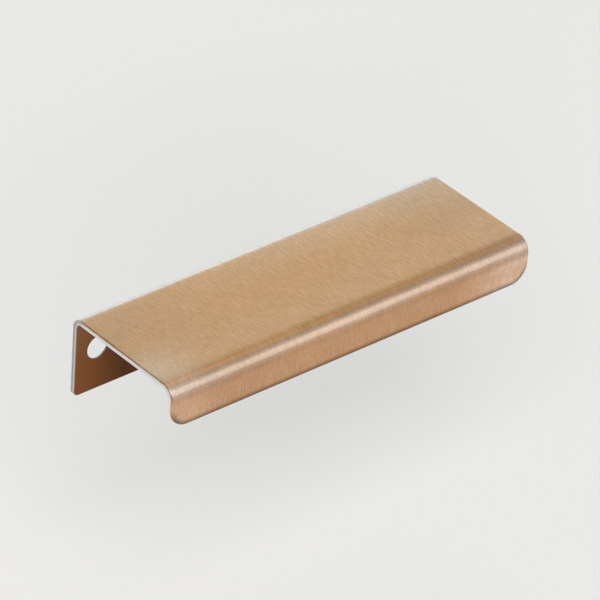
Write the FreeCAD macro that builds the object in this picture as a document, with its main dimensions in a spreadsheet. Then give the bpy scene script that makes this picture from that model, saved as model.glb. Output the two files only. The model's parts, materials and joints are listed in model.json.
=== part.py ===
import FreeCAD, Part
import math
import os
import Sketcher

# Folded tab pull for the edge of a door or a drawer front, in millimetres.
# One sheet makes the whole pull. The rear flange is screwed to the back of the door, the flat plate lies
# over the door's edge, and the lip hangs in front for the fingers.
# Frame: +X along the pull, +Y away from the user, +Z up. The origin is midway between the two screw holes,
# on the face of the flange that meets the door.

doc = FreeCAD.newDocument("tab_pull")

# Driving dimensions
# Each size that can be chosen by itself has one cell. The sketches and features below read these cells.
DIMENSIONS = [
    ("screw_spacing", 96.0, "distance between the two screw holes"),
    ("hole_to_end", 6.5, "centre of each screw hole to the nearer end of the pull"),
    ("pull_depth", 37.0, "rear face of the flange to front face of the lip"),
    ("flange_height", 22.2, "top of the plate to the lower edge of the flange"),
    ("lip_height", 11.2, "top of the plate to the lower edge of the lip"),
    ("sheet_thickness", 1.5, "thickness of the folded sheet"),
    ("rear_bend_radius", 1.5, "inner radius of the bend above the flange"),
    ("front_bend_radius", 2.2, "inner radius of the bend above the lip"),
    ("lip_corner_radius", 5.0, "rounding of the two lower corners of the lip"),
    ("flange_corner_radius", 1.5, "rounding of the two lower corners of the flange"),
    ("screw_drop", 10.5, "top of the plate to the line of the screw holes"),
    ("screw_hole_diameter", 6.0, "plain stretch of each hole where it meets the door"),
    ("countersink_depth", 1.2, "depth of each countersink below the rear face"),
    ("countersink_angle", 90.0, "full angle of each countersink in degrees"),
    ("edge_roll_radius", 0.4, "rounding that blanking leaves round the outer side"),
    ("edge_break", 0.2, "bevel where the burr is taken off round the inner side"),
]

sheet = doc.addObject("Spreadsheet::Sheet", "Dimensions")
for row, (name, value, meaning) in enumerate(DIMENSIONS, start=1):
    sheet.set("A%d" % row, name)
    sheet.set("B%d" % row, str(value))
    sheet.set("C%d" % row, meaning)
    sheet.setAlias("B%d" % row, name)
doc.recompute()


def size(name):
    """The value that one cell of the sheet holds now."""
    return float(sheet.get(name))


def new_sketch(body, name, role):
    """A sketch that lies on one of the body's own origin planes."""
    sketch = body.newObject("Sketcher::SketchObject", name)
    plane = [feature for feature in body.Origin.OriginFeatures if feature.Role == role][0]
    sketch.AttachmentSupport = [(plane, "")]
    sketch.MapMode = "FlatFace"
    return sketch


def constrain(sketch, kind, *arguments):
    """Adds a geometric constraint, which has no size of its own."""
    sketch.addConstraint(Sketcher.Constraint(kind, *arguments))


def dimension(sketch, name, cell, kind, *arguments):
    """Adds a named dimension to the sketch and binds it to a cell of the sheet."""
    index = sketch.addConstraint(Sketcher.Constraint(kind, *arguments, size(cell)))
    sketch.renameConstraint(index, name)
    sketch.setExpression("Constraints." + name, "Dimensions." + cell)


# The sketch's own origin and axes, as constraints name them
ORIGIN = (-1, 1)
AXES = {"horizontal": -1, "vertical": -2}


def start_of(element):
    """The first point of a line or an arc, as constraints name it."""
    return (element, 1)


def end_of(element):
    """The last point of a line or an arc."""
    return (element, 2)


def centre_of(element):
    """The centre of an arc or a circle."""
    return (element, 3)


def point(across, up):
    return FreeCAD.Vector(across, up, 0)


def arc(centre, radius, first_degrees, last_degrees):
    """A counter-clockwise arc of a sketch."""
    circle = Part.Circle(centre, FreeCAD.Vector(0, 0, 1), radius)
    return Part.ArcOfCircle(circle, math.radians(first_degrees), math.radians(last_degrees))


def draw_folded_section(sketch):
    """The section of the folded sheet, seen along X: flange, rear bend, plate, front bend and lip.

    The outline runs up the inner face from the flange's lower edge and comes back along the outer face.
    Its inner and outer bends share their centres, so one thickness holds all the way round.
    """
    thickness = size("sheet_thickness")
    top = size("screw_drop")
    underside = top - thickness
    flange_foot = top - size("flange_height")
    lip_foot = top - size("lip_height")
    lip_front = thickness - size("pull_depth")
    lip_back = lip_front + thickness
    rear_radius = size("rear_bend_radius")
    front_radius = size("front_bend_radius")
    rear_centre = point(-rear_radius, underside - rear_radius)
    front_centre = point(lip_back + front_radius, underside - front_radius)

    outline = [
        ("inner_flange", Part.LineSegment(point(0, flange_foot), point(0, rear_centre.y))),
        ("inner_rear_bend", arc(rear_centre, rear_radius, 0, 90)),
        ("underside", Part.LineSegment(point(rear_centre.x, underside), point(front_centre.x, underside))),
        ("inner_front_bend", arc(front_centre, front_radius, 90, 180)),
        ("inner_lip", Part.LineSegment(point(lip_back, front_centre.y), point(lip_back, lip_foot))),
        ("lip_edge", Part.LineSegment(point(lip_back, lip_foot), point(lip_front, lip_foot))),
        ("outer_lip", Part.LineSegment(point(lip_front, lip_foot), point(lip_front, front_centre.y))),
        ("outer_front_bend", arc(front_centre, front_radius + thickness, 90, 180)),
        ("top", Part.LineSegment(point(front_centre.x, top), point(rear_centre.x, top))),
        ("outer_rear_bend", arc(rear_centre, rear_radius + thickness, 0, 90)),
        ("outer_flange", Part.LineSegment(point(thickness, rear_centre.y), point(thickness, flange_foot))),
        ("flange_edge", Part.LineSegment(point(thickness, flange_foot), point(0, flange_foot))),
    ]
    sketch.addGeometry([geometry for _, geometry in outline], False)
    side = {name: index for index, (name, _) in enumerate(outline)}

    smooth_joints = [
        (end_of(side["inner_flange"]), start_of(side["inner_rear_bend"])),
        (end_of(side["inner_rear_bend"]), start_of(side["underside"])),
        (end_of(side["underside"]), start_of(side["inner_front_bend"])),
        (end_of(side["inner_front_bend"]), start_of(side["inner_lip"])),
        (end_of(side["outer_lip"]), end_of(side["outer_front_bend"])),
        (start_of(side["outer_front_bend"]), start_of(side["top"])),
        (end_of(side["top"]), end_of(side["outer_rear_bend"])),
        (start_of(side["outer_rear_bend"]), start_of(side["outer_flange"])),
    ]
    for first, second in smooth_joints:
        constrain(sketch, "Tangent", *first, *second)

    corners_at_cut_edges = [
        (end_of(side["inner_lip"]), start_of(side["lip_edge"])),
        (end_of(side["lip_edge"]), start_of(side["outer_lip"])),
        (end_of(side["outer_flange"]), start_of(side["flange_edge"])),
        (end_of(side["flange_edge"]), start_of(side["inner_flange"])),
    ]
    for first, second in corners_at_cut_edges:
        constrain(sketch, "Coincident", *first, *second)
    for name in ("inner_flange", "inner_lip", "outer_lip", "outer_flange"):
        constrain(sketch, "Vertical", side[name])
    for name in ("underside", "lip_edge", "top", "flange_edge"):
        constrain(sketch, "Horizontal", side[name])

    # Both bends keep the sheet's thickness
    for bend in ("rear_bend", "front_bend"):
        inner_centre = centre_of(side["inner_" + bend])
        constrain(sketch, "Coincident", *inner_centre, *centre_of(side["outer_" + bend]))

    # The face that meets the door stands on the vertical axis
    inner_foot = start_of(side["inner_flange"])
    constrain(sketch, "PointOnObject", *inner_foot, AXES["vertical"])

    rear_foot = end_of(side["outer_flange"])
    front_foot = start_of(side["outer_lip"])
    plate_top = start_of(side["top"])
    dimension(sketch, "Thickness", "sheet_thickness", "DistanceX", *inner_foot, *rear_foot)
    dimension(sketch, "RearBend", "rear_bend_radius", "Radius", side["inner_rear_bend"])
    dimension(sketch, "FrontBend", "front_bend_radius", "Radius", side["inner_front_bend"])
    dimension(sketch, "FlangeHeight", "flange_height", "DistanceY", *inner_foot, *plate_top)
    dimension(sketch, "LipHeight", "lip_height", "DistanceY", *front_foot, *plate_top)
    dimension(sketch, "Depth", "pull_depth", "DistanceX", *front_foot, *rear_foot)
    dimension(sketch, "ScrewDrop", "screw_drop", "DistanceY", *ORIGIN, *plate_top)


def draw_screw_holes(sketch):
    """One circle for each screw, level with the origin and the same distance either side of it."""
    radius = size("screw_hole_diameter") / 2
    half_spacing = size("screw_spacing") / 2
    for side_sign in (-1, 1):
        centre = point(side_sign * half_spacing, 0)
        sketch.addGeometry(Part.Circle(centre, FreeCAD.Vector(0, 0, 1), radius), False)
    left, right = range(2)
    constrain(sketch, "PointOnObject", *centre_of(left), AXES["horizontal"])
    constrain(sketch, "Symmetric", *centre_of(left), *centre_of(right), AXES["vertical"])
    constrain(sketch, "Equal", left, right)
    dimension(sketch, "Spacing", "screw_spacing", "DistanceX", *centre_of(left), *centre_of(right))
    dimension(sketch, "HoleDiameter", "screw_hole_diameter", "Diameter", left)


def edge_names(shape, wanted):
    """The names, such as Edge7, of the shape's edges that a test accepts."""
    return ["Edge%d" % number for number, edge in enumerate(shape.Edges, start=1) if wanted(edge)]


SAME_WITHIN = 1e-4


def close_to(first, second):
    """True for two lengths that are the same but for rounding."""
    return abs(first - second) < SAME_WITHIN


def is_corner_at(height):
    """A test for the short edges that cross the sheet at the pull's ends, at this height."""
    half_length = size("screw_spacing") / 2 + size("hole_to_end")

    def wanted(edge):
        box = edge.BoundBox
        at_end = close_to(abs(box.Center.x), half_length) and close_to(box.XLength, 0)
        across = close_to(box.YLength, size("sheet_thickness")) and close_to(box.ZLength, 0)
        return at_end and across and close_to(box.Center.z, height)

    return wanted


def side_planes(side):
    """Where the three flats on one side of the sheet lie: flange and lip across Y, plate across Z."""
    thickness = size("sheet_thickness")
    inset = 0.0 if side == "outer" else thickness
    return {
        "flange": thickness - inset,
        "plate": size("screw_drop") - inset,
        "lip": thickness - size("pull_depth") + inset,
    }


def side_bend_radii(side):
    """The radii of the rear and the front bend on one side of the sheet."""
    added = size("sheet_thickness") if side == "outer" else 0.0
    return [size("rear_bend_radius") + added, size("front_bend_radius") + added]


def is_face_of(side, face):
    """True for the flats and bends that make up one side of the sheet, as against its cut edges."""
    surface = face.Surface
    if isinstance(surface, Part.Cylinder):
        along_pull = close_to(abs(surface.Axis.x), 1)
        return along_pull and any(close_to(surface.Radius, radius) for radius in side_bend_radii(side))
    planes = side_planes(side)
    box = face.BoundBox
    flat_across_y = close_to(box.YLength, 0)
    on_flange = flat_across_y and close_to(box.YMin, planes["flange"])
    on_lip = flat_across_y and close_to(box.YMin, planes["lip"])
    on_plate = close_to(box.ZLength, 0) and close_to(box.ZMin, planes["plate"])
    return on_flange or on_plate or on_lip


def is_outline_of(side, shape):
    """A test for the edges that run round one side of the sheet, without its bend lines and holes."""
    side_edges = [edge for face in shape.Faces if is_face_of(side, face) for edge in face.Edges]

    def wanted(edge):
        uses = sum(1 for side_edge in side_edges if side_edge.isSame(edge))
        return uses == 1 and not edge.isClosed()

    return wanted


def dress_edges(body, kind, name, base, property_name, cell, edges):
    """Rounds or bevels the named edges of the feature before it, by a size from the sheet."""
    dressed = body.newObject("PartDesign::" + kind, name)
    dressed.Base = (base, edges)
    dressed.setExpression(property_name, "Dimensions." + cell)
    body.Tip = dressed
    doc.recompute()
    return dressed


# Lengths that follow from the driving dimensions
PULL_LENGTH = "Dimensions.screw_spacing + 2 * Dimensions.hole_to_end"
COUNTERSINK_MOUTH = (
    "Dimensions.screw_hole_diameter"
    " + 2 * Dimensions.countersink_depth * tan(Dimensions.countersink_angle / 2)"
)


def make_folded_plate():
    """The whole pull: a sheet folded down at both sides, with two countersunk screw holes."""
    body = doc.addObject("PartDesign::Body", "FoldedPlate")
    body.Label = "folded_plate"

    section = new_sketch(body, "FoldedSection", "YZ_Plane")
    draw_folded_section(section)
    folded = body.newObject("PartDesign::Pad", "FoldedSheet")
    folded.Profile = section
    folded.SideType = "Symmetric"
    folded.setExpression("Length", PULL_LENGTH)
    doc.recompute()

    # Screw holes, drilled from the rear face, where the screw heads sit flush
    hole_centres = new_sketch(body, "ScrewHoleCentres", "XZ_Plane")
    hole_centres.setExpression("AttachmentOffset.Base.z", "-Dimensions.sheet_thickness")
    draw_screw_holes(hole_centres)
    doc.recompute()
    before_holes = folded.Shape.Volume
    screw_holes = body.newObject("PartDesign::Hole", "ScrewHoles")
    screw_holes.Profile = hole_centres
    screw_holes.Reversed = True
    doc.recompute()
    screw_holes.ThreadType = "None"
    screw_holes.HoleCutType = "Countersink"
    screw_holes.DepthType = "Dimension"
    screw_holes.DrillPoint = "Flat"
    screw_holes.setExpression("Depth", "Dimensions.sheet_thickness")
    screw_holes.setExpression("Diameter", "Dimensions.screw_hole_diameter")
    screw_holes.setExpression("HoleCutDiameter", COUNTERSINK_MOUTH)
    screw_holes.setExpression("HoleCutCountersinkAngle", "Dimensions.countersink_angle")
    doc.recompute()
    if screw_holes.Shape.Volume >= before_holes:
        raise RuntimeError("the screw holes cut nothing")

    # Rounded lower corners of the lip and of the flange
    top = size("screw_drop")
    corners = edge_names(screw_holes.Shape, is_corner_at(top - size("lip_height")))
    lip = dress_edges(body, "Fillet", "LipCorners", screw_holes, "Radius", "lip_corner_radius", corners)
    corners = edge_names(lip.Shape, is_corner_at(top - size("flange_height")))
    flange = dress_edges(body, "Fillet", "FlangeCorners", lip, "Radius", "flange_corner_radius", corners)

    # Blanking draws the outer side down a little all round, and the burr is taken off the inner side
    outline = edge_names(flange.Shape, is_outline_of("outer", flange.Shape))
    rolled = dress_edges(body, "Fillet", "RolledEdge", flange, "Radius", "edge_roll_radius", outline)
    outline = edge_names(rolled.Shape, is_outline_of("inner", rolled.Shape))
    dress_edges(body, "Chamfer", "BrokenEdge", rolled, "Size", "edge_break", outline)

    body.Placement = FreeCAD.Placement()
    doc.recompute()
    return body


def check_and_write(body):
    """Stops on a failed object or a bad solid, and writes the sub-part under its label."""
    for item in doc.Objects:
        if "Invalid" in item.State or "Error" in item.State:
            raise RuntimeError("%s failed: %s" % (item.Label, item.State))
    shape = body.Shape
    if shape.isNull() or not shape.isValid() or len(shape.Solids) != 1:
        raise RuntimeError(body.Label + " is not one valid solid")
    os.makedirs("parts", exist_ok=True)
    shape.exportStep(os.path.join("parts", body.Label + ".step"))
    box = shape.optimalBoundingBox()
    print("%s: %.1f x %.1f x %.1f mm" % (body.Label, box.XLength, box.YLength, box.ZLength))
    print("volume %.1f mm3, %d faces" % (shape.Volume, len(shape.Faces)))


check_and_write(make_folded_plate())
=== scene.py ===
# %% [markdown]
# # A tab pull folded from one brushed sheet
#
# This pull is screwed to the back of a door or a drawer front. Its flat plate lies over the edge of the
# door and its lip hangs down in front for the fingers. The whole thing is one sheet of metal, folded twice,
# with a brushed copper-coloured finish on its broad sides and bare metal along its cut edges. The measured
# model of the part is loaded first. It gives the size and place of everything that follows, and it stays
# hidden behind a finer mesh that is modelled here.

import json
import math

import bmesh
import bpy
from mathutils import Matrix, Vector


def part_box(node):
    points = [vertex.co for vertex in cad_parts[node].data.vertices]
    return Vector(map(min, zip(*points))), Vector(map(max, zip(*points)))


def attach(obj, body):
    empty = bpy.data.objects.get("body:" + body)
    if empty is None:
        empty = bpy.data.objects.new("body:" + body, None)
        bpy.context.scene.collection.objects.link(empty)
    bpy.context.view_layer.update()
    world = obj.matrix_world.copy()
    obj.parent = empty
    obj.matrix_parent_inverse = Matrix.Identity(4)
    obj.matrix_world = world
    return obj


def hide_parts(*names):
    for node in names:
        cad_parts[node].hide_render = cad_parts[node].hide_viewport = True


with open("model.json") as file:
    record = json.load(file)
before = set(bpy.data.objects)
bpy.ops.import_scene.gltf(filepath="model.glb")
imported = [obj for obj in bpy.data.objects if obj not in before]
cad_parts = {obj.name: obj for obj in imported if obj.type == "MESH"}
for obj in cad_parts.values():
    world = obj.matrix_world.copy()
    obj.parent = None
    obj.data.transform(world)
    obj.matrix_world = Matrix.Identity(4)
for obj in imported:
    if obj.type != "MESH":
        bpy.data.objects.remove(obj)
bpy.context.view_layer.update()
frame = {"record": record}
part_low, part_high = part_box("folded_plate")
MM = 0.001
print("measured part:", [round(side / MM, 2) for side in part_high - part_low], "mm")

# %% [markdown]
# ## The sizes of the fold
#
# The outer box comes from the measured part, and so do the screw holes. The bends, the corners and the
# edges are named here, because a box doesn't hold them. The part's zero height is the line of the screw
# holes, and its zero depth is the face that meets the door, so the sheet's thickness is simply how far the
# box reaches behind zero.

# %% Name the sizes
THICKNESS = part_high.y
TOP = part_high.z
UNDERSIDE = TOP - THICKNESS
FLANGE_FOOT = part_low.z
LIP_FRONT = part_low.y
LIP_HEIGHT = 11.2 * MM
LIP_FOOT = TOP - LIP_HEIGHT
HALF_LENGTH = part_high.x

REAR_INNER_RADIUS = 1.5 * MM
FRONT_INNER_RADIUS = 2.2 * MM
REAR_OUTER_RADIUS = REAR_INNER_RADIUS + THICKNESS
FRONT_OUTER_RADIUS = FRONT_INNER_RADIUS + THICKNESS
LIP_CORNER_RADIUS = 5.0 * MM
FLANGE_CORNER_RADIUS = 1.5 * MM
EDGE_ROLL_RADIUS = 0.4 * MM
EDGE_BREAK = 0.2 * MM

REAR_CENTRE = Vector((0, -REAR_INNER_RADIUS, UNDERSIDE - REAR_INNER_RADIUS))
FRONT_CENTRE = Vector((0, LIP_FRONT + FRONT_OUTER_RADIUS, TOP - FRONT_OUTER_RADIUS))

mounts = {mount["name"]: mount for mount in frame["record"]["mounts"]}
screw_dims = mounts["screw_holes"]["dims"]
HOLE_RADIUS = screw_dims["hole_r_mm"] * MM
HALF_SPACING = screw_dims["spacing_x_mm"] * MM / 2
COUNTERSINK_DEPTH = 1.2 * MM
print("sheet", round(THICKNESS / MM, 2), "mm, holes at x = +-", round(HALF_SPACING / MM, 2), "mm")

# %% [markdown]
# ## Picking faces and edges by place
#
# A modeller at the screen clicks on a face. A script has no mouse, so each pick is a small test on where
# the face or edge lies. Two helpers do all the picking. Both start from nothing selected, because a new
# primitive comes with everything selected and an operator would then act on all of it.

# %% Helpers for picking
TOLERANCE = 0.01 * MM
SQUARE_ON = 0.9


def start_fresh():
    """Leaves edit mode and lets go of every object."""
    if bpy.context.mode != "OBJECT":
        bpy.ops.object.mode_set(mode="OBJECT")
    bpy.ops.object.select_all(action="DESELECT")


def pick(kind, test):
    """Selects the faces, edges or vertices of the mesh in edit mode that pass a test, and counts them."""
    bpy.ops.mesh.select_mode(type=kind)
    bpy.ops.mesh.select_all(action="DESELECT")
    mesh = bmesh.from_edit_mesh(bpy.context.edit_object.data)
    elements = {"FACE": mesh.faces, "EDGE": mesh.edges, "VERT": mesh.verts}[kind]
    elements.ensure_lookup_table()
    mesh.normal_update()
    found = [element for element in elements if test(element)]
    for element in found:
        element.select_set(True)
    mesh.select_flush_mode()
    bmesh.update_edit_mesh(bpy.context.edit_object.data)
    return len(found)


def close(first, second):
    """True for two lengths that differ by less than a hundredth of a millimetre."""
    return abs(first - second) < TOLERANCE


# %% [markdown]
# ## The flat plate
#
# The plate between the two bends is the only stretch that stays as flat as the sheet came. It starts as a
# cube that is scaled to the plate's exact size. Applying the scale puts the size into the mesh itself, so
# that bevels and spins measure true, and the object stays at the origin.

# %% Make the flat plate
plate_back = REAR_CENTRE.y
plate_front = FRONT_CENTRE.y
start_fresh()
bpy.ops.mesh.primitive_cube_add(size=1, location=(0, (plate_back + plate_front) / 2, (TOP + UNDERSIDE) / 2))
pull = bpy.context.object
pull.name = "folded_sheet"
pull.scale = (2 * HALF_LENGTH, plate_back - plate_front, THICKNESS)
bpy.ops.object.transform_apply(location=True, rotation=True, scale=True)
print("flat plate", round((plate_back - plate_front) / MM, 2), "mm deep")

# %% [markdown]
# ## Folding down the flange and the lip
#
# A press brake turns the sheet round a bar. Spin does the same to the end face: it extrudes the face in
# small steps round the centre of the bend, so the inner and the outer side share that centre and the
# thickness stays the same all the way. A straight extrusion then makes the flat stretch beyond the bend.

# %% Fold both sides
BEND_STEPS = 24


def fold(end_y, centre, quarter_turn, foot):
    """Spins the end face at this depth down round a bend's centre, then extrudes it straight to its foot."""

    def is_end_face(face):
        return close(face.calc_center_median().y, end_y) and abs(face.normal.y) > SQUARE_ON

    picked = pick("FACE", is_end_face)
    bpy.ops.mesh.spin(steps=BEND_STEPS, angle=quarter_turn, center=centre, axis=(1, 0, 0), dupli=False)
    drop = foot - centre.z
    bpy.ops.mesh.extrude_region_move(TRANSFORM_OT_translate={"value": (0, 0, drop)})
    print("folded", picked, "face down by", round(-drop / MM, 2), "mm below its bend")


bpy.ops.object.mode_set(mode="EDIT")
fold(plate_back, REAR_CENTRE, math.pi / 2, FLANGE_FOOT)
fold(plate_front, FRONT_CENTRE, -math.pi / 2, LIP_FOOT)
bpy.ops.mesh.select_all(action="SELECT")
bpy.ops.mesh.remove_doubles(threshold=0.001 * MM)
bpy.ops.mesh.normals_make_consistent(inside=False)
print("faces after folding:", len(bmesh.from_edit_mesh(pull.data).faces))

# %% [markdown]
# ## Unrolling the sheet in numbers
#
# Much of what follows depends on where a point lies in the flat sheet before it was folded: how far along
# the pull, how far up the sheet from the foot of the flange, and how deep below the outer side. The middle
# of a sheet keeps its length in a bend, so the bends are measured along their middle radius.

# %% Unroll a point
REAR_MIDDLE_RADIUS = (REAR_INNER_RADIUS + REAR_OUTER_RADIUS) / 2
FRONT_MIDDLE_RADIUS = (FRONT_INNER_RADIUS + FRONT_OUTER_RADIUS) / 2
PLATE_START = REAR_CENTRE.z - FLANGE_FOOT + REAR_MIDDLE_RADIUS * math.pi / 2
PLATE_END = PLATE_START + REAR_CENTRE.y - FRONT_CENTRE.y
SHEET_WIDTH = PLATE_END + FRONT_MIDDLE_RADIUS * math.pi / 2 + FRONT_CENTRE.z - LIP_FOOT


def unroll(point):
    """The point's place in the flat sheet: along the pull, up the sheet, and depth below the outer side."""
    if point.y < FRONT_CENTRE.y:
        arm = point - FRONT_CENTRE
        if arm.z < 0:
            return Vector((point.x, SHEET_WIDTH - point.z + LIP_FOOT, point.y - LIP_FRONT))
        turned = math.atan2(-arm.y, arm.z)
        radius = math.hypot(arm.y, arm.z)
        return Vector((point.x, PLATE_END + FRONT_MIDDLE_RADIUS * turned, FRONT_OUTER_RADIUS - radius))
    arm = point - REAR_CENTRE
    if arm.z < 0:
        return Vector((point.x, point.z - FLANGE_FOOT, THICKNESS - point.y))
    if arm.y < 0:
        return Vector((point.x, PLATE_START - arm.y, TOP - point.z))
    turned = math.atan2(arm.y, arm.z)
    radius = math.hypot(arm.y, arm.z)
    return Vector((point.x, PLATE_START - REAR_MIDDLE_RADIUS * turned, REAR_OUTER_RADIUS - radius))


def depth_of(corner):
    """How deep a vertex lies below the outer side of the sheet."""
    return unroll(corner.co).z


print("flat sheet", round(2 * HALF_LENGTH / MM, 1), "x", round(SHEET_WIDTH / MM, 1), "mm")

# %% [markdown]
# ## Rounding the corners
#
# The lip ends in two round corners that a finger can slide past, and the flange in two small ones. Each
# corner is one short edge across the thickness of the sheet. A bevel with many segments turns it into an
# arc, and on a square corner the bevel's offset is the radius.

# %% Round the lip and the flange corners


def round_corners(foot, radius, steps):
    """Bevels the two edges that cross the sheet at this foot's ends."""

    def crosses_at_end(edge):
        first, last = (corner.co for corner in edge.verts)
        at_end = close(abs(first.x), HALF_LENGTH) and close(first.x, last.x)
        return at_end and close(first.z, foot) and close(last.z, foot)

    picked = pick("EDGE", crosses_at_end)
    bpy.ops.mesh.bevel(offset=radius, segments=steps, affect="EDGES", clamp_overlap=False)
    print("rounded", picked, "corners to", round(radius / MM, 2), "mm")


round_corners(LIP_FOOT, LIP_CORNER_RADIUS, steps=24)
round_corners(FLANGE_FOOT, FLANGE_CORNER_RADIUS, steps=12)

# %% [markdown]
# ## The edges that blanking leaves
#
# A punch that cuts the sheet drags the outer side down a little before it breaks through, so that side ends
# in a soft roll all the way round. The side where the tool comes out has a burr, which is taken off with a
# narrow bevel. Both edges catch the light, and they make the sheet look like metal of a real thickness.

# %% Roll the outer edge and break the inner one


def outline_of(side_depth):
    """A test for edges that run round the sheet at this depth, between a broad side and a cut face."""

    def wanted(edge):
        if not all(close(depth_of(corner), side_depth) for corner in edge.verts):
            return False
        return any(not close(depth_of(corner), side_depth) for face in edge.link_faces for corner in face.verts)

    return wanted


picked = pick("EDGE", outline_of(0))
bpy.ops.mesh.bevel(offset=EDGE_ROLL_RADIUS, segments=6, profile=0.5, affect="EDGES", clamp_overlap=False)
print("rolled", picked, "outer edges")
picked = pick("EDGE", outline_of(THICKNESS))
bpy.ops.mesh.bevel(offset=EDGE_BREAK, segments=1, affect="EDGES", clamp_overlap=False)
print("broke", picked, "inner edges")

# %% [markdown]
# ## The screw holes
#
# The screws go in from behind, and their heads sink into the flange. So each hole is a plain bore where it
# meets the door, and opens into a cone at the rear. One cutter is modelled with that outline: a cylinder
# whose end cap is extruded and widened into the cone. Its copy makes the second hole, and a boolean takes
# both out of the flange.

# %% Make the cutter and drill
HOLE_STEPS = 96
OVERSHOOT = 1.0 * MM


def make_cutter():
    """A plain bore that opens at a right angle towards the rear, and runs past both faces of the flange."""
    start_fresh()
    bore_end = THICKNESS - COUNTERSINK_DEPTH
    bpy.ops.mesh.primitive_cylinder_add(
        vertices=HOLE_STEPS,
        radius=HOLE_RADIUS,
        depth=bore_end + OVERSHOOT,
        location=(-HALF_SPACING, (bore_end - OVERSHOOT) / 2, 0),
        rotation=(math.pi / 2, 0, 0),
    )
    bpy.ops.object.transform_apply(location=True, rotation=True, scale=True)
    bpy.ops.object.mode_set(mode="EDIT")
    pick("FACE", lambda face: face.normal.y > SQUARE_ON)
    reach = COUNTERSINK_DEPTH + OVERSHOOT
    widened = (HOLE_RADIUS + reach) / HOLE_RADIUS
    bpy.ops.mesh.extrude_region_move(TRANSFORM_OT_translate={"value": (0, reach, 0)})
    bpy.ops.transform.resize(value=(widened, 1, widened))
    bpy.ops.object.mode_set(mode="OBJECT")
    return bpy.context.object


cutter = make_cutter()
bpy.ops.object.duplicate_move(TRANSFORM_OT_translate={"value": (2 * HALF_SPACING, 0, 0)})
cutter.select_set(True)
bpy.context.view_layer.objects.active = cutter
bpy.ops.object.join()

start_fresh()
pull.select_set(True)
bpy.context.view_layer.objects.active = pull
drill = pull.modifiers.new("screw_holes", "BOOLEAN")
drill.operation = "DIFFERENCE"
drill.solver = "EXACT"
drill.object = cutter
bpy.ops.object.modifier_apply(modifier=drill.name)
bpy.data.objects.remove(cutter)
print("faces with both holes:", len(pull.data.polygons))

# %% [markdown]
# ## A map that follows the sheet
#
# The sheet was brushed while it was flat, so its grain has to run on through both bends. Every point of the
# mesh keeps its place in the flat sheet as an attribute, which the materials read as their pattern space. A
# UV map with the same layout gives the shader the direction of the brushing.

# %% Write the unrolled places into the mesh
places = [unroll(corner.co) for corner in pull.data.vertices]
unrolled = pull.data.attributes.new("unrolled", "FLOAT_VECTOR", "POINT")
for entry, place in zip(unrolled.data, places):
    entry.vector = place


def depth_range(face):
    """The least and the greatest depth of a face's corners below the outer side."""
    depths = [places[index].z for index in face.vertices]
    return min(depths), max(depths)


def is_cut_face(face):
    """True for the faces that cross the sheet, its bevelled inner edge and the walls of the holes."""
    nearest, deepest = depth_range(face)
    return deepest - nearest > TOLERANCE and deepest > EDGE_ROLL_RADIUS + TOLERANCE


cut_faces = {face.index for face in pull.data.polygons if is_cut_face(face)}
sheet_map = pull.data.uv_layers.new(name="sheet")
for face in pull.data.polygons:
    for loop in face.loop_indices:
        along, up, depth = places[pull.data.loops[loop].vertex_index]
        across = (along + up, depth) if face.index in cut_faces else (along, up)
        sheet_map.data[loop].uv = [0.5 + distance / (2 * HALF_LENGTH) for distance in across]
print("cut faces:", len(cut_faces), "of", len(pull.data.polygons))

# %% [markdown]
# ## Smooth bends and crisp edges
#
# Smooth shading by angle keeps the bends and the rolled edge soft and leaves the bevel and the mouths of
# the holes sharp. Weighted normals then let each large flat face keep its own direction, so no shadow
# creeps across it from the narrow faces beside it.

# %% Smooth the surface
SHARP_ANGLE = math.radians(30)
start_fresh()
pull.select_set(True)
bpy.context.view_layer.objects.active = pull
bpy.ops.object.shade_smooth_by_angle(angle=SHARP_ANGLE)
flatten = pull.modifiers.new("flat_faces_stay_flat", "WEIGHTED_NORMAL")
flatten.keep_sharp = True
bpy.ops.object.modifier_apply(modifier=flatten.name)
print("sharp edges:", sum(edge.use_edge_sharp for edge in pull.data.edges), "of", len(pull.data.edges))

# %% [markdown]
# ## Building materials from nodes
#
# The finishes all start from the unrolled places. A few helpers keep the node code short: one adds a node
# and sets its sockets, one makes a noise that is stretched along the brushing, and the others are small
# steps of arithmetic.

# %% Helpers for nodes
NOISE_LOW = 0.3
NOISE_HIGH = 0.7


def new_material(name):
    """An empty node material with its surface shader wired up."""
    material = bpy.data.materials.new(name)
    material.use_nodes = True
    tree = material.node_tree
    return material, tree, tree.nodes["Principled BSDF"]


def plug_in(tree, plug, value):
    """Links a socket to an input, or writes a plain value into it."""
    if isinstance(value, bpy.types.NodeSocket):
        tree.links.new(value, plug)
    else:
        plug.default_value = value


def add_node(tree, kind, **inputs):
    """Adds a node and fills the inputs that are named."""
    node = tree.nodes.new("ShaderNode" + kind)
    for name, value in inputs.items():
        plug_in(tree, node.inputs[name], value)
    return node


def calculate(tree, operation, first, second=0.0):
    """One step of arithmetic between two values or sockets."""
    node = tree.nodes.new("ShaderNodeMath")
    node.operation = operation
    plug_in(tree, node.inputs[0], first)
    plug_in(tree, node.inputs[1], second)
    return node.outputs["Value"]


def product(tree, *factors):
    """Multiplies any number of values."""
    result = factors[0]
    for factor in factors[1:]:
        result = calculate(tree, "MULTIPLY", result, factor)
    return result


def total(tree, *terms):
    """Adds up any number of values."""
    result = terms[0]
    for term in terms[1:]:
        result = calculate(tree, "ADD", result, term)
    return result


def ramp(tree, value, start, end, first, last):
    """Goes smoothly from the first value to the last while its input goes from start to end."""
    node = add_node(tree, "MapRange", Value=value)
    node.interpolation_type = "SMOOTHSTEP"
    node.inputs["From Min"].default_value = start
    node.inputs["From Max"].default_value = end
    node.inputs["To Min"].default_value = first
    node.inputs["To Max"].default_value = last
    return node.outputs["Result"]


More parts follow.
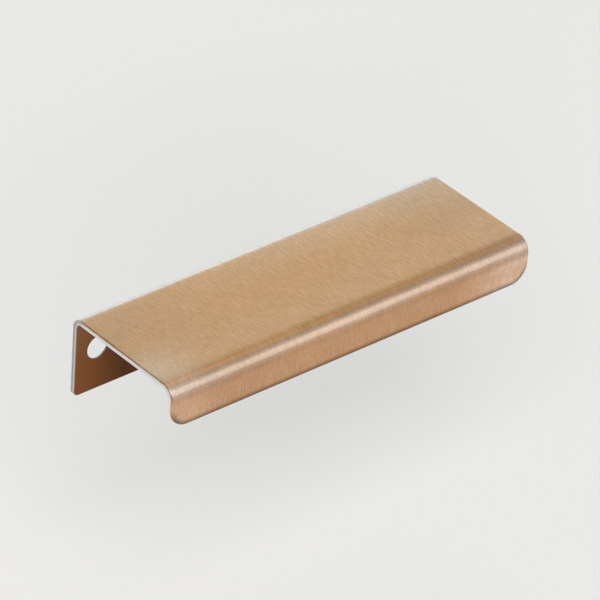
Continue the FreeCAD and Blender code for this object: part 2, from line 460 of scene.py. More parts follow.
def ridge(tree, value, centre, inner, outer, height):
    """Gives its full height within the inner distance of a centre, and falls to nothing at the outer distance."""
    distance = calculate(tree, "ABSOLUTE", calculate(tree, "SUBTRACT", value, centre))
    return ramp(tree, distance, inner, outer, height, 0.0)


def sheet_place(tree):
    """The place of a point in the flat sheet: along the pull, up the sheet, and depth below the outer side."""
    attribute = tree.nodes.new("ShaderNodeAttribute")
    attribute.attribute_name = "unrolled"
    parts = add_node(tree, "SeparateXYZ", Vector=attribute.outputs["Vector"])
    return attribute.outputs["Vector"], parts.outputs["X"], parts.outputs["Y"], parts.outputs["Z"]


def sheet_noise(tree, place, along, up, through, detail):
    """Noise in the flat sheet, with the size of its blots along, up and through the sheet."""
    stretched = add_node(tree, "Mapping", Vector=place, Scale=(1 / along, 1 / up, 1 / through))
    noise = add_node(tree, "TexNoise", Vector=stretched.outputs["Vector"], Scale=1.0, Detail=detail)
    return noise.outputs["Fac"]


def spread(tree, noise, low, high):
    """Maps a noise, which mostly stays between its low and its high value, onto a range of values."""
    return ramp(tree, noise, NOISE_LOW, NOISE_HIGH, low, high)


def cloudy(tree, place):
    """The faint unevenness of a coat, in soft patches of a few millimetres."""
    return sheet_noise(tree, place, 9.0 * MM, 6.0 * MM, 20.0 * MM, detail=3.0)


def metal_grain(tree, place):
    """The fine even grain of metal that was cut."""
    return sheet_noise(tree, place, 0.25 * MM, 0.25 * MM, 0.25 * MM, detail=3.0)


def blend(tree, share, first, second):
    """Goes from the first colour to the second as the share goes from 0 to 1."""
    node = tree.nodes.new("ShaderNodeMix")
    node.data_type = "RGBA"
    colour_inputs = [plug for plug in node.inputs if plug.type == "RGBA"]
    plug_in(tree, node.inputs["Factor"], share)
    plug_in(tree, colour_inputs[0], first)
    plug_in(tree, colour_inputs[1], second)
    return [plug for plug in node.outputs if plug.type == "RGBA"][0]


def tone(tree, colour, factor):
    """Makes a colour lighter or darker by a factor."""
    node = tree.nodes.new("ShaderNodeVectorMath")
    node.operation = "SCALE"
    tree.links.new(colour, node.inputs[0])
    tree.links.new(factor, node.inputs["Scale"])
    return node.outputs["Vector"]


def tint(tree, first, second):
    """Multiplies two colours."""
    node = tree.nodes.new("ShaderNodeVectorMath")
    node.operation = "MULTIPLY"
    tree.links.new(first, node.inputs[0])
    tree.links.new(second, node.inputs[1])
    return node.outputs["Vector"]


def follow_brushing(tree, shader, amount):
    """Stretches the highlights across the brushing, which runs up the sheet."""
    direction = tree.nodes.new("ShaderNodeTangent")
    direction.direction_type = "UV_MAP"
    direction.uv_map = "sheet"
    tree.links.new(direction.outputs["Tangent"], shader.inputs["Tangent"])
    shader.inputs["Anisotropic"].default_value = amount


# %% [markdown]
# ## How far a point lies from the outline
#
# Wear and handling gather near the outline of the sheet, so the finish needs the distance to it. For a
# rectangle with round corners that is a short sum: away from a corner it is the distance to the nearer
# side, and in a corner it is the radius less the distance to the corner's centre.

# %% Measure the distance to the outline


def end_distance(tree, along):
    """Distance to the nearer end of the pull."""
    return calculate(tree, "SUBTRACT", HALF_LENGTH, calculate(tree, "ABSOLUTE", along))


def outline_distance(tree, along, up):
    """Distance to the ends of the pull or the foot of the lip, round the lip's corners."""
    past_side = calculate(tree, "SUBTRACT", LIP_CORNER_RADIUS, end_distance(tree, along))
    past_foot = calculate(tree, "SUBTRACT", up, SHEET_WIDTH - LIP_CORNER_RADIUS)
    corner_side = calculate(tree, "MAXIMUM", past_side)
    corner_foot = calculate(tree, "MAXIMUM", past_foot)
    squares = total(tree, product(tree, corner_side, corner_side), product(tree, corner_foot, corner_foot))
    in_corner = calculate(tree, "SUBTRACT", LIP_CORNER_RADIUS, calculate(tree, "SQRT", squares))
    beyond_corner = calculate(tree, "MINIMUM", calculate(tree, "MAXIMUM", past_side, past_foot))
    return calculate(tree, "SUBTRACT", in_corner, beyond_corner)


# %% [markdown]
# ## The shape that is too slight to model
#
# A real folded sheet isn't quite flat between its bends. It starts to curve a little before each bend, and
# the punch draws its rim down over more than the rolled edge itself. These slopes are a few hundredths of a
# millimetre deep, so they go into one bump map whose height is the true height in metres.

# %% Describe the slight slopes
FRONT_DROP = 0.075 * MM
REAR_DROP = 0.05 * MM
RIM_DROP = 0.045 * MM


def slight_slopes(tree, up, rim):
    """The direction of the outer side with its slight slopes."""
    front = ramp(tree, up, PLATE_END - 2.0 * MM, PLATE_END + 0.6 * MM, 0.0, -FRONT_DROP)
    rear = ramp(tree, up, PLATE_START - 0.5 * MM, PLATE_START + 3.0 * MM, -REAR_DROP, 0.0)
    drawn_rim = ramp(tree, rim, 0.2 * MM, 1.6 * MM, -RIM_DROP, 0.0)
    height = total(tree, front, rear, drawn_rim)
    return add_node(tree, "Bump", Height=height, Strength=1.0, Distance=1.0).outputs["Normal"]


print("greatest slope of all three:", round((FRONT_DROP + RIM_DROP) / MM, 3), "mm deep")


# %% [markdown]
# ## Where painted highlight and sheen pale the coat
#
# The broad sides carry a thin copper-coloured coat under a clear lacquer. Its colour is painted paler where light
# falls on it: a painted highlight along the crest of the front bend, and a painted sheen towards both ends, on
# the front of the plate and as a haze over its rear, while the middle of the plate keeps most colour as a painted
# shade. The top of the rear bend is painted almost as pale as bare metal, a painted reflection. Each is a smooth
# hill or slope across the flat sheet, so it can be moved by one number.

# %% Describe where sheen is painted
FRONT_CREST = PLATE_END + 2.7 * MM
# A painted highlight along the crest of the front bend.
CREST_HIGHLIGHT = 0.32
# A painted sheen towards both ends, on the plate and more on the lip.
PLATE_END_SHEEN = 0.05
LIP_END_SHEEN = 0.22
# A painted sheen over the front of the plate, most in its left corner.
CORNER_SHEEN = 0.28
FRONT_SHEEN = 0.02
# A painted sheen over the rear of the plate.
REAR_SHEEN = 0.2
# Less painted sheen in the middle of the plate, a painted shade.
MIDDLE_SHADE = 0.03


def sheen_at_ends(tree, along, up, clouds):
    """How far a painted sheen pales the coat towards both ends, most on the lip and patchy."""
    reach = ramp(tree, end_distance(tree, along), 1.0 * MM, 26.0 * MM, 1.0, 0.0)
    most = ramp(tree, up, PLATE_END + 3.0 * MM, PLATE_END + 6.0 * MM, PLATE_END_SHEEN, LIP_END_SHEEN)
    more_on_right = ramp(tree, along, -20 * MM, 45 * MM, 0.45, 1.3)
    return product(tree, reach, most, more_on_right, spread(tree, clouds, 0.7, 1.3))


def sheen_at_front(tree, along, up):
    """How far a painted sheen pales the plate towards its front, most in the left corner."""
    reach = ramp(tree, along, -HALF_LENGTH, 18.5 * MM - HALF_LENGTH, CORNER_SHEEN, FRONT_SHEEN)
    towards_front = ramp(tree, up, PLATE_START + 13 * MM, PLATE_START + 25 * MM, 0.0, 1.0)
    over_bend = ramp(tree, up, PLATE_END - 1.8 * MM, PLATE_END + 0.2 * MM, 1.0, 0.5)
    return product(tree, reach, towards_front, over_bend)


def sheen_at_rear(tree, along, up):
    """How far a painted sheen pales the plate towards its rear, most on the right."""
    reach = ramp(tree, up, PLATE_START, PLATE_START + 14 * MM, REAR_SHEEN, 0.0)
    return product(tree, reach, ramp(tree, along, -40 * MM, 45 * MM, 0.12, 1.0))


def less_sheen_in_middle(tree, along, up):
    """How much less painted sheen the middle of the plate gets, a painted shade there."""
    along_plate = ridge(tree, along, -8 * MM, 6 * MM, 34 * MM, -MIDDLE_SHADE)
    return product(tree, along_plate, ridge(tree, up, PLATE_START + 14 * MM, 3 * MM, 13 * MM, 1.0))


def painted_sheen(tree, along, up, clouds):
    """How pale the painted highlight and sheen make the coat, over the whole sheet."""
    crest = ridge(tree, up, FRONT_CREST, 0.5 * MM, 1.8 * MM, CREST_HIGHLIGHT)
    ends = sheen_at_ends(tree, along, up, clouds)
    at_ends_or_front = calculate(tree, "MAXIMUM", ends, sheen_at_front(tree, along, up))
    return total(tree, crest, sheen_at_rear(tree, along, up), at_ends_or_front, less_sheen_in_middle(tree, along, up))


def rear_bend_sheen(tree, along, up, fine):
    """How far the top of the rear bend is painted pale as a reflection."""
    wider_right = ramp(tree, along, -20 * MM, 40 * MM, 0.0, 0.3 * MM)
    towards_rear = calculate(tree, "SUBTRACT", up, wider_right)
    over_top = ramp(tree, towards_rear, PLATE_START - 1.4 * MM, PLATE_START + 1.0 * MM, 1.0, 0.0)
    down_back = ramp(tree, up, PLATE_START - 2.8 * MM, PLATE_START - 1.0 * MM, 0.0, 1.0)
    return product(tree, over_top, down_back, spread(tree, fine, 0.9, 1.05))


print("crest of the front bend:", round(FRONT_CREST / MM, 1), "mm up the sheet")

# %% [markdown]
# ## Where light and shade are painted into the coat
#
# The coat's colour carries painted light and shade as a product of factors that are 1 nearly everywhere: near
# both ends, in narrow lines where the front bend starts and ends, below the pale top of the rear bend, on the
# rolled edge, and along the foot of the lip, where the painted shade is darkest. With one short function for
# each, a place can be tuned without a change anywhere else.

# %% Describe the painted light and shade of the coat
# Amounts of painted light and shade in the coat's colour, place by place.
END_SHADE = 0.9
FRONT_END_LIGHT = 0.07
LEFT_LIP_LIGHT = 0.20
RIGHT_LIP_LIGHT = 0.35
# Painted light and shade on the rolled edge.
PLATE_ROLL_LIGHT = 1.1
LIP_ROLL_SHADE = 0.95
FLANGE_ROLL_SHADE = 0.75
CREST_ROLL_SHADE = 0.55
# Painted shade along the foot of the lip.
FOOT_SHADE = 0.4


def end_light_and_shade(tree, along, up):
    """Painted shade darkens the plate towards both ends, and less so at its front."""
    reach = ramp(tree, end_distance(tree, along), 5 * MM, 35 * MM, 1.0, 0.0)
    towards_front = ramp(tree, up, PLATE_START + 13 * MM, PLATE_START + 25 * MM, 0.0, FRONT_END_LIGHT)
    before_bend = ramp(tree, up, PLATE_END - 1.5 * MM, PLATE_END + 0.5 * MM, 1.0, 0.0)
    change = total(tree, product(tree, towards_front, before_bend), END_SHADE - 1.0)
    return total(tree, 1.0, product(tree, reach, change))


def lip_end_light_and_shade(tree, along, up):
    """Painted light makes the lip lighter towards both ends, most on the right."""
    on_lip = ramp(tree, up, PLATE_END + 2.6 * MM, PLATE_END + 6.5 * MM, 0.0, 1.0)
    left = ramp(tree, along, -52 * MM, -30 * MM, LEFT_LIP_LIGHT, 0.0)
    right = ramp(tree, along, 25 * MM, 52 * MM, 0.0, RIGHT_LIP_LIGHT)
    return total(tree, 1.0, product(tree, on_lip, total(tree, left, right)))


def bend_start_light(tree, along, up):
    """A line of painted shade and then a line of painted highlight mark where the front bend starts."""
    dull_line = ridge(tree, up, PLATE_END - 0.1 * MM, 0.2 * MM, 1.0 * MM, 1.0)
    duller = product(tree, dull_line, ramp(tree, along, -50 * MM, 10 * MM, 0.0, -0.09))
    bright_line = ridge(tree, up, PLATE_END + 1.1 * MM, 0.1 * MM, 1.0 * MM, 1.0)
    brighter = product(tree, bright_line, ramp(tree, along, -HALF_LENGTH, 10 * MM, 0.4, 0.07))
    return total(tree, 1.0, brighter, duller)


def bend_corner_light(tree, along, up):
    """Painted light makes the front bend lighter in its corners: on the left where it starts, on the right along
    its crest.
    """
    left = ridge(tree, up, PLATE_END + 0.9 * MM, 0.9 * MM, 2.2 * MM, 0.1)
    at_left = product(tree, left, ramp(tree, along, -HALF_LENGTH, -40 * MM, 1.0, 0.0))
    right = ridge(tree, up, PLATE_END + 2.6 * MM, 0.8 * MM, 2.0 * MM, 0.1)
    at_right = product(tree, right, ramp(tree, along, 30 * MM, 50 * MM, 0.0, 1.0))
    return total(tree, 1.0, at_left, at_right)


def bend_end_light_and_shade(tree, up):
    """A painted highlight just below the crest of the front bend, and a painted shade where it runs out into the
    lip.
    """
    under_crest = ridge(tree, up, PLATE_END + 3.45 * MM, 0.1 * MM, 0.8 * MM, 0.12)
    above_lip = ridge(tree, up, PLATE_END + 4.5 * MM, 0.2 * MM, 1.3 * MM, -0.09)
    return total(tree, 1.0, under_crest, above_lip)


def rear_bend_light_and_shade(tree, up):
    """Two lines of painted shade run along the rear bend, in its pale top and below it."""
    in_top = ridge(tree, up, PLATE_START - 0.75 * MM, 0.1 * MM, 0.5 * MM, -0.13)
    below_top = ridge(tree, up, PLATE_START - 2.4 * MM, 0.4 * MM, 1.3 * MM, -0.12)
    return total(tree, 1.0, in_top, below_top)


def on_roll(tree, depth):
    """1 where the rolled edge meets the cut face, 0 on the flat of the sheet."""
    return ramp(tree, depth, 0.0, 0.5 * EDGE_ROLL_RADIUS, 0.0, 1.0)


def on_crest_roll(tree, up, depth):
    """1 on the rolled edge where the crest of the front bend runs out over it, 0 elsewhere."""
    on_edge = ramp(tree, depth, 0.01 * MM, 0.07 * MM, 0.0, 1.0)
    return product(tree, on_edge, ridge(tree, up, FRONT_CREST, 0.8 * MM, 2.5 * MM, 1.0))


def roll_light_and_shade(tree, up, depth):
    """Painted light makes the rolled edge lightest on the plate, and painted shade makes it darkest on the flange
    and at the crest.
    """
    rear = ramp(tree, up, PLATE_START - 4 * MM, PLATE_START, FLANGE_ROLL_SHADE - 1.0, PLATE_ROLL_LIGHT - 1.0)
    front = ramp(tree, up, PLATE_END, PLATE_END + 6 * MM, 0.0, LIP_ROLL_SHADE - PLATE_ROLL_LIGHT)
    outline = total(tree, 1.0, product(tree, on_roll(tree, depth), total(tree, rear, front)))
    crest = total(tree, 1.0, product(tree, on_crest_roll(tree, up, depth), CREST_ROLL_SHADE - 1.0))
    return product(tree, outline, crest)


def painted_light_and_shade(tree, along, up, depth, foot):
    """How much painted light and shade make the coat lighter or darker than its usual copper."""
    return product(
        tree,
        end_light_and_shade(tree, along, up),
        lip_end_light_and_shade(tree, along, up),
        bend_start_light(tree, along, up),
        bend_corner_light(tree, along, up),
        bend_end_light_and_shade(tree, up),
        rear_bend_light_and_shade(tree, up),
        roll_light_and_shade(tree, up, depth),
        # painted shade along the foot of the lip
        total(tree, 1.0, product(tree, foot, FOOT_SHADE - 1.0)),
    )


# %% [markdown]
# ## Where the lacquer is thin
#
# Clear lacquer is liquid when it goes on, and it draws back from sharp turns before it sets. So little of
# it is left on the rolled edge and along the foot of the lip, and it is thinner where the front bend starts
# and ends. There the metal looks duller, because the lacquer's own highlight is missing.

# %% Describe the lacquer
START_LOSS = 0.5
END_LOSS = 0.2
CREST_ROLL_LOSS = 0.9
ROLL_LOSS = 0.7
FOOT_LOSS = 0.8


def lacquer_share(tree, along, up, depth, foot):
    """How much of the lacquer is left."""
    bend_start = ridge(tree, up, PLATE_END + 0.1 * MM, 0.3 * MM, 1.4 * MM, START_LOSS)
    lost_start = product(tree, bend_start, ramp(tree, along, -50 * MM, -36 * MM, 0.0, 1.0))
    lost_end = ridge(tree, up, PLATE_END + 3.5 * MM, 0.1 * MM, 0.9 * MM, END_LOSS)
    lost_crest_roll = product(tree, on_crest_roll(tree, up, depth), CREST_ROLL_LOSS)
    lost_roll = product(tree, on_roll(tree, depth), ROLL_LOSS)
    lost_foot = product(tree, foot, FOOT_LOSS)
    lost = total(tree, lost_start, lost_end, lost_crest_roll, lost_roll, lost_foot)
    return calculate(tree, "SUBTRACT", 1.0, lost)


# %% [markdown]
# ## The marks of the brush
#
# The brushing is thousands of fine scratches that run up the sheet, across the pull. Drawn one by one they
# would need a very large picture, so they are noise stretched up the sheet instead. On the lip half of it
# is shorter and softer. Each mark also shifts the colour: where it bites, the metal is paler and bluer, and
# beside it deeper. Longer, fainter strokes and a cloudy unevenness lie over the marks.

# %% Describe the brush marks
DARK_MARK = (0.89, 0.83, 0.74, 1)
LIGHT_MARK = (1.11, 1.17, 1.26, 1)
NO_MARK = (1, 1, 1, 1)


def brush_marks(tree, place, up):
    """The fine marks, long on the plate and partly short on the lip."""
    long_marks = sheet_noise(tree, place, 0.18 * MM, 2.2 * MM, 5.0 * MM, detail=3.0)
    short_marks = sheet_noise(tree, place, 0.5 * MM, 1.0 * MM, 5.0 * MM, detail=2.0)
    short_share = ramp(tree, up, PLATE_END, PLATE_END + 5.0 * MM, 0.0, 0.5)
    long_share = calculate(tree, "SUBTRACT", 1.0, short_share)
    return total(tree, product(tree, long_marks, long_share), product(tree, short_marks, short_share))


def marked(tree, colour, fine, on_lip):
    """The colour with the fine marks in it, which are weaker on the lip."""
    marks = blend(tree, spread(tree, fine, 0.0, 1.0), DARK_MARK, LIGHT_MARK)
    softened = blend(tree, product(tree, on_lip, 0.3), marks, NO_MARK)
    return tint(tree, colour, softened)


def stroke_tone(tree, strokes, clouds, on_lip):
    """How much the long strokes and the cloudy unevenness lighten or darken the coat."""
    strength = ramp(tree, on_lip, 0.0, 1.0, 1.0, 0.4)
    stroked = total(tree, 1.0, product(tree, spread(tree, strokes, -0.05, 0.05), strength))
    return product(tree, stroked, spread(tree, clouds, 0.95, 1.05))


# %% [markdown]
# ## The brushed copper-coloured coat
#
# Now the coat can be put together. Its colour goes from copper to pale metal with the painted highlight and sheen
# and with the paler scratches, and to a painted pale reflection on the top of the rear bend. The lip's copper is
# a darker, redder copy, a painted shade. Painted light and shade then make it lighter or darker in places. The
# marks shift the colour, the gloss and, as a bump, the direction of the surface. A clear coat on top is the
# lacquer. Brushed metal spreads its highlights across the brushing, which is what the anisotropy does, along the
# direction that the sheet's map gives it.

# %% Make the brushed coat
PLATE_COPPER = (0.614, 0.297, 0.058, 1)
# The lip's copper is the plate's copper painted darker and redder, as painted shade.
LIP_SHADED_COPPER = (0.560, 0.234, 0.033, 1)
PALE_METAL = (0.80, 0.75, 0.70, 1)
# The colour of the painted pale reflection on the top of the rear bend.
REAR_SHEEN_METAL = (0.69, 0.68, 0.665, 1)
SCRATCH_WEAR = 0.18


def make_brushed_coat():
    """The lacquered coat of the outer side."""
    material, tree, shader = new_material("brushed copper coat")
    place, along, up, depth = sheet_place(tree)
    fine = brush_marks(tree, place, up)
    strokes = sheet_noise(tree, place, 0.35 * MM, 5.0 * MM, 5.0 * MM, detail=2.0)
    clouds = cloudy(tree, place)
    on_lip = ramp(tree, up, PLATE_END - 2.0 * MM, PLATE_END + 4.0 * MM, 0.0, 1.0)
    rim = outline_distance(tree, along, up)
    # Near the foot of the lip the colour gets painted shade and the lacquer is thinner.
    near_foot = ramp(tree, up, SHEET_WIDTH - 6.0 * MM, SHEET_WIDTH - 2.0 * MM, 0.0, 1.0)
    foot = product(tree, ramp(tree, rim, 0.2 * MM, 1.9 * MM, 1.0, 0.0), near_foot)

    scratches = product(tree, total(tree, fine, strokes), 0.5)
    # Painted highlight and sheen, with the real paling of the scratches, blend the copper towards pale metal.
    sheen_and_wear = total(tree, painted_sheen(tree, along, up, clouds), spread(tree, scratches, 0.0, SCRATCH_WEAR))
    sheened_and_worn = blend(tree, sheen_and_wear, blend(tree, on_lip, PLATE_COPPER, LIP_SHADED_COPPER), PALE_METAL)
    # The top of the rear bend is painted pale as a reflection.
    colour = blend(tree, rear_bend_sheen(tree, along, up, fine), sheened_and_worn, REAR_SHEEN_METAL)
    strokes_tone = stroke_tone(tree, strokes, clouds, on_lip)
    # Painted light and shade, with the real tone of the strokes and clouds, make the coat lighter or darker.
    shade = product(tree, strokes_tone, painted_light_and_shade(tree, along, up, depth, foot))
    tree.links.new(tone(tree, marked(tree, colour, fine, on_lip), shade), shader.inputs["Base Color"])

    roughness = product(tree, spread(tree, fine, 0.85, 1.15), spread(tree, clouds, 0.46, 0.50))
    tree.links.new(roughness, shader.inputs["Roughness"])
    bump = add_node(
        tree,
        "Bump",
        Height=total(tree, fine, product(tree, strokes, 0.3)),
        Strength=ramp(tree, on_lip, 0.0, 1.0, 0.12, 0.07),
        Distance=0.05 * MM,
        Normal=slight_slopes(tree, up, rim),
    )
    tree.links.new(bump.outputs["Normal"], shader.inputs["Normal"])
    tree.links.new(bump.outputs["Normal"], shader.inputs["Coat Normal"])
    follow_brushing(tree, shader, 0.7)
    tree.links.new(lacquer_share(tree, along, up, depth, foot), shader.inputs["Coat Weight"])
    shader.inputs["Metallic"].default_value = 1.0
    shader.inputs["Coat IOR"].default_value = 1.7
    shader.inputs["Coat Roughness"].default_value = 0.22
    return material


coat = make_brushed_coat()
print("made", coat.name, "from", len(coat.node_tree.nodes), "nodes")

# %% [markdown]
# ## The inner side
#
# The inner side is hidden once the pull is screwed on, so it has hardly any lacquer and no painted sheen. Its
# colour is painted dark brown as shade, darkest deep in the channel, where the walls stand close together.
# Towards the open ends the painted shade grows lighter, and redder down at the foot of the flange.

# %% Make the inner coat
# Painted shade: the brown of the inner side near the ends, at the foot, and deep in the channel.
SHADED_END_BROWN = (0.245, 0.105, 0.037, 1)
SHADED_FOOT_BROWN = (0.238, 0.084, 0.022, 1)
DEEP_SHADE_BROWN = (0.094, 0.029, 0.007, 1)
SHADE_REACH = 17 * MM


def make_shaded_inner_side():
    """The coat of the side that meets the door, painted dark brown as shade."""
    material, tree, shader = new_material("inner coat with painted shade")
    place, along, up, depth = sheet_place(tree)
    fine = sheet_noise(tree, place, 0.16 * MM, 5.0 * MM, 5.0 * MM, detail=3.0)
    clouds = cloudy(tree, place)
    end_colour = blend(tree, ramp(tree, up, 6 * MM, 18 * MM, 0.0, 1.0), SHADED_FOOT_BROWN, SHADED_END_BROWN)
    inwards = ramp(tree, end_distance(tree, along), 0.0, SHADE_REACH, 0.0, 1.0)
    colour = blend(tree, inwards, end_colour, DEEP_SHADE_BROWN)
    shade = product(tree, spread(tree, fine, 0.96, 1.04), spread(tree, clouds, 0.93, 1.07))
    tree.links.new(tone(tree, colour, shade), shader.inputs["Base Color"])
    tree.links.new(spread(tree, clouds, 0.46, 0.54), shader.inputs["Roughness"])
    bump = add_node(tree, "Bump", Height=fine, Strength=0.1, Distance=0.05 * MM)
    tree.links.new(bump.outputs["Normal"], shader.inputs["Normal"])
    follow_brushing(tree, shader, 0.5)
    shader.inputs["Metallic"].default_value = 1.0
    shader.inputs["Coat Weight"].default_value = 0.05
    return material


shaded_inner_side = make_shaded_inner_side()
print("made", shaded_inner_side.name)

# %% [markdown]
# ## The bare cut edge
#
# The sheet was cut after it was coated, so bare steel shows along its edges. A punch first shears the metal and
# rubs it bright, and then the rest tears away. Between the two bands runs a dark line, which is plain along the
# flange and fades out over the rear bend. Round the lip the punch has dragged copper over the outer half of the
# edge, and the inner bevel takes on the painted shade brown of the inner side. Fine scratches run straight
# through the thickness.

# %% Make the cut edge
STEEL = (0.765, 0.755, 0.765, 1)
LINE_DEPTH = 0.72 * MM
LINE_STRENGTH = 0.6
TORN_TONE = 0.8
OVERRUN = 0.9
LIP_EDGE_LIFT = 0.13


def make_cut_edge():
    """The bare metal of the punched edge and of the bevel that took off its burr."""
    material, tree, shader = new_material("bare cut edge")
    place, along, up, depth = sheet_place(tree)
    scratches = sheet_noise(tree, place, 0.12 * MM, 0.12 * MM, 3.0 * MM, detail=2.0)
    grain = metal_grain(tree, place)
    on_flange = ramp(tree, up, PLATE_START - 3.0 * MM, PLATE_START + 3.0 * MM, 1.0, 0.0)
    into_line = ramp(tree, depth, 0.15 * MM, LINE_DEPTH, 0.0, LINE_STRENGTH)
    out_of_line = ramp(tree, depth, LINE_DEPTH, 1.05 * MM, LINE_STRENGTH, 1.0 - TORN_TONE)
    line = product(tree, calculate(tree, "MINIMUM", into_line, out_of_line), on_flange)
    line_tone = calculate(tree, "SUBTRACT", 1.0, line)
    on_lip = ramp(tree, up, PLATE_END + 1.0 * MM, PLATE_END + 6.0 * MM, 0.0, 1.0)
    lip_tone = total(tree, 1.0, product(tree, on_lip, LIP_EDGE_LIFT))
    texture = product(tree, spread(tree, scratches, 0.94, 1.06), spread(tree, grain, 0.96, 1.04))
    shade = product(tree, texture, line_tone, lip_tone)
    overrun = product(tree, ramp(tree, depth, 0.45 * MM, 0.8 * MM, OVERRUN, 0.0), on_lip)
    outer_colour = blend(tree, overrun, STEEL, LIP_SHADED_COPPER)
    # The inner bevel takes the painted shade brown of the inner side.
    on_break = ramp(tree, depth, THICKNESS - 1.2 * EDGE_BREAK, THICKNESS - 0.3 * EDGE_BREAK, 0.0, 0.85)
    colour = blend(tree, on_break, outer_colour, SHADED_END_BROWN)
    tree.links.new(tone(tree, colour, shade), shader.inputs["Base Color"])
    tree.links.new(spread(tree, grain, 0.30, 0.42), shader.inputs["Roughness"])
    bump = add_node(tree, "Bump", Height=scratches, Strength=0.15, Distance=0.03 * MM)
    tree.links.new(bump.outputs["Normal"], shader.inputs["Normal"])
    shader.inputs["Metallic"].default_value = 1.0
    return material


cut_edge = make_cut_edge()
print("made", cut_edge.name)

# %% [markdown]
# ## The drilled walls
#
# The holes were drilled and sunk last. Their walls are bare as well, but a drill leaves them duller and
# darker than the punched edge, with turning marks that run round each hole. The marks are noise that is
# squeezed through the depth of the hole and drawn out round it.

# %% Make the drilled walls
DULL_STEEL = (0.30, 0.27, 0.26, 1)


def make_drilled_wall():
    """The dull metal inside the screw holes."""
    material, tree, shader = new_material("drilled wall")
    place, along, up, depth = sheet_place(tree)
    marks = sheet_noise(tree, place, 6.0 * MM, 6.0 * MM, 0.05 * MM, detail=2.0)
    grain = metal_grain(tree, place)
    shade = product(tree, spread(tree, marks, 0.85, 1.15), spread(tree, grain, 0.94, 1.06))
    steel = tree.nodes.new("ShaderNodeRGB")
    steel.outputs["Color"].default_value = DULL_STEEL
    tree.links.new(tone(tree, steel.outputs["Color"], shade), shader.inputs["Base Color"])
    tree.links.new(spread(tree, grain, 0.38, 0.50), shader.inputs["Roughness"])
    bump = add_node(tree, "Bump", Height=marks, Strength=0.2, Distance=0.02 * MM)
    tree.links.new(bump.outputs["Normal"], shader.inputs["Normal"])
    shader.inputs["Metallic"].default_value = 1.0
    return material


drilled_wall = make_drilled_wall()
print("made", drilled_wall.name)

# %% [markdown]
# ## Giving each face its finish
#
# The four finishes become four slots of the one mesh. Each face then takes the slot that suits it: cut
# faces are bare, those in a hole are drilled, and the rest are coated, inside or outside.

# %% Assign the finishes
FINISHES = [coat, shaded_inner_side, cut_edge, drilled_wall]
for finish in FINISHES:
    pull.data.materials.append(finish)


def in_hole(face):
    """True for the walls of the two screw holes."""
    middle = face.center
    from_axis = math.hypot(abs(middle.x) - HALF_SPACING, middle.z)
    return middle.y > -THICKNESS and from_axis < HOLE_RADIUS + THICKNESS


counts = dict.fromkeys((finish.name for finish in FINISHES), 0)
for face in pull.data.polygons:
    if face.index in cut_faces:
        finish = drilled_wall if in_hole(face) else cut_edge
    else:
        nearest, deepest = depth_range(face)
        finish = shaded_inner_side if nearest > THICKNESS / 2 else coat
    face.material_index = FINISHES.index(finish)
    counts[finish.name] += 1
print("faces with each finish:", counts)

# %% [markdown]
# ## The floor
#
# A product photograph of bright metal is mostly a picture of what the metal reflects. The pull hangs above
# a plain pale floor, which shows in the lip and in the cut edges. It hangs high enough for its shadow to
# stay soft and faint.

# %% Lay the floor
FLOOR_DROP = 90 * MM
FLOOR_SIZE = 6.0
FLOOR_COLOUR = (0.955, 0.935, 0.92, 1)


def make_floor():
    """A plain plane below the pull, which catches its shadow."""
    start_fresh()
    bpy.ops.mesh.primitive_plane_add(size=FLOOR_SIZE, location=(0, 0, part_low.z - FLOOR_DROP))
    floor = bpy.context.object
    floor.name = "floor"
    material, tree, shader = new_material("matt pale floor")
    shader.inputs["Base Color"].default_value = FLOOR_COLOUR
    shader.inputs["Roughness"].default_value = 0.9
    shader.inputs["Specular IOR Level"].default_value = 0.0
    floor.data.materials.append(material)
    return floor


floor = make_floor()
print("floor", round(FLOOR_DROP / MM), "mm below the pull")

# %% [markdown]
# ## Soft studio light
#
# Five large soft lamps and a dim even surrounding light the pull. Each lamp's width runs along the pull, so that
# its reflection lies straight along the bends. The back softbox shows in the flat plate. Its upper edge is where
# the plate turns dark at the front bend, and a dimmer softbox above it keeps that start from going black. The low
# strip reaches down past the horizon, so that the rear bend, with its painted pale reflection, fades out without
# a hard line. The softbox at the front right draws the long highlight along the crest, and the one on the
# camera's side lights the lip and the floor.

# %% Set up the lamps
YELLOWISH_WHITE = (0.98, 1.0, 0.83)
CREAM_WHITE = (1.0, 1.0, 0.93)
SURROUND_COLOUR = (0.95, 1.0, 1.05, 1)
SURROUND_STRENGTH = 0.38
part_centre = (part_low + part_high) / 2


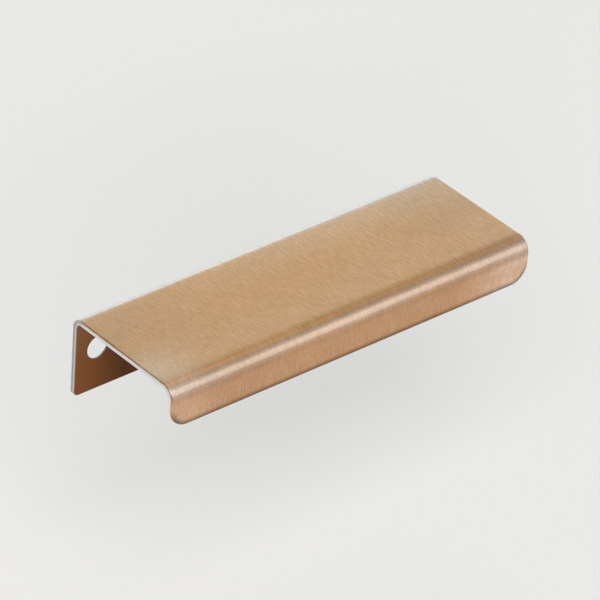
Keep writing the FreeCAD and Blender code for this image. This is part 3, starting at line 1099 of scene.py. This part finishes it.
def add_softbox(name, direction, distance, width, height, brightness, colour=(1, 1, 1)):
    """A rectangular lamp that faces the pull. Brightness 1 shows as white to a mirror."""
    light = bpy.data.lights.new(name, "AREA")
    light.shape = "RECTANGLE"
    light.size = width
    light.size_y = height
    light.energy = brightness * math.pi * width * height
    light.color = colour
    lamp = bpy.data.objects.new(name, light)
    bpy.context.scene.collection.objects.link(lamp)
    towards = Vector(direction).normalized()
    lamp.location = part_centre + towards * distance
    lamp.rotation_euler = (math.atan2(-towards.y, towards.z), 0, 0)
    return lamp


add_softbox("back softbox", (0.50, 0.65, 0.33), 1.2, 1.6, 0.80, 0.545, YELLOWISH_WHITE)
add_softbox("upper back softbox", (0.556, 0.291, 0.777), 1.2, 1.6, 0.90, 0.38, CREAM_WHITE)
add_softbox("low back strip", (0.556, 0.800, 0.143), 1.3, 1.6, 0.50, 0.79)
add_softbox("front right softbox", (0.556, -0.740, 0.377), 2.0, 1.0, 1.20, 1.42)
add_softbox("camera side softbox", (-0.55, -0.65, 0.60), 1.5, 0.8, 0.8, 7.9)

world = bpy.data.worlds.new("studio")
bpy.context.scene.world = world
world.use_nodes = True
studio = world.node_tree.nodes["Background"]
studio.inputs["Color"].default_value = SURROUND_COLOUR
studio.inputs["Strength"].default_value = SURROUND_STRENGTH

# %% [markdown]
# ## The camera
#
# The photograph was taken with a long lens, from the front left and from above. The camera's place, aim and
# small roll were worked out from the outline of the pull in the picture.

# %% Place the camera
CAMERA_PLACE = Vector((-721.06, -817.04, 723.47)) * MM
CAMERA_AIM = Vector((3.78, -11.61, -0.31)) * MM
CAMERA_ROLL = math.radians(3.97)
LENS = 330.35
SENSOR = 36.0

view = bpy.data.cameras.new("camera")
view.lens = LENS
view.sensor_width = SENSOR
view.clip_start = 0.05
view.clip_end = 50.0
camera = bpy.data.objects.new("camera", view)
bpy.context.scene.collection.objects.link(camera)
upright = (CAMERA_PLACE - CAMERA_AIM).to_track_quat("Z", "Y").to_matrix()
rolled = upright @ Matrix.Rotation(CAMERA_ROLL, 3, "Z")
camera.matrix_world = Matrix.Translation(CAMERA_PLACE) @ rolled.to_4x4()
bpy.context.scene.camera = camera
bpy.context.scene.view_settings.view_transform = "Standard"
print("camera", round((CAMERA_PLACE - CAMERA_AIM).length, 2), "m from the pull")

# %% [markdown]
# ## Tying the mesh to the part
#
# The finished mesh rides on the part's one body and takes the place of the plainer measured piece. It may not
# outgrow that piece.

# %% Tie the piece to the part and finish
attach(pull, "root")
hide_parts("folded_plate")
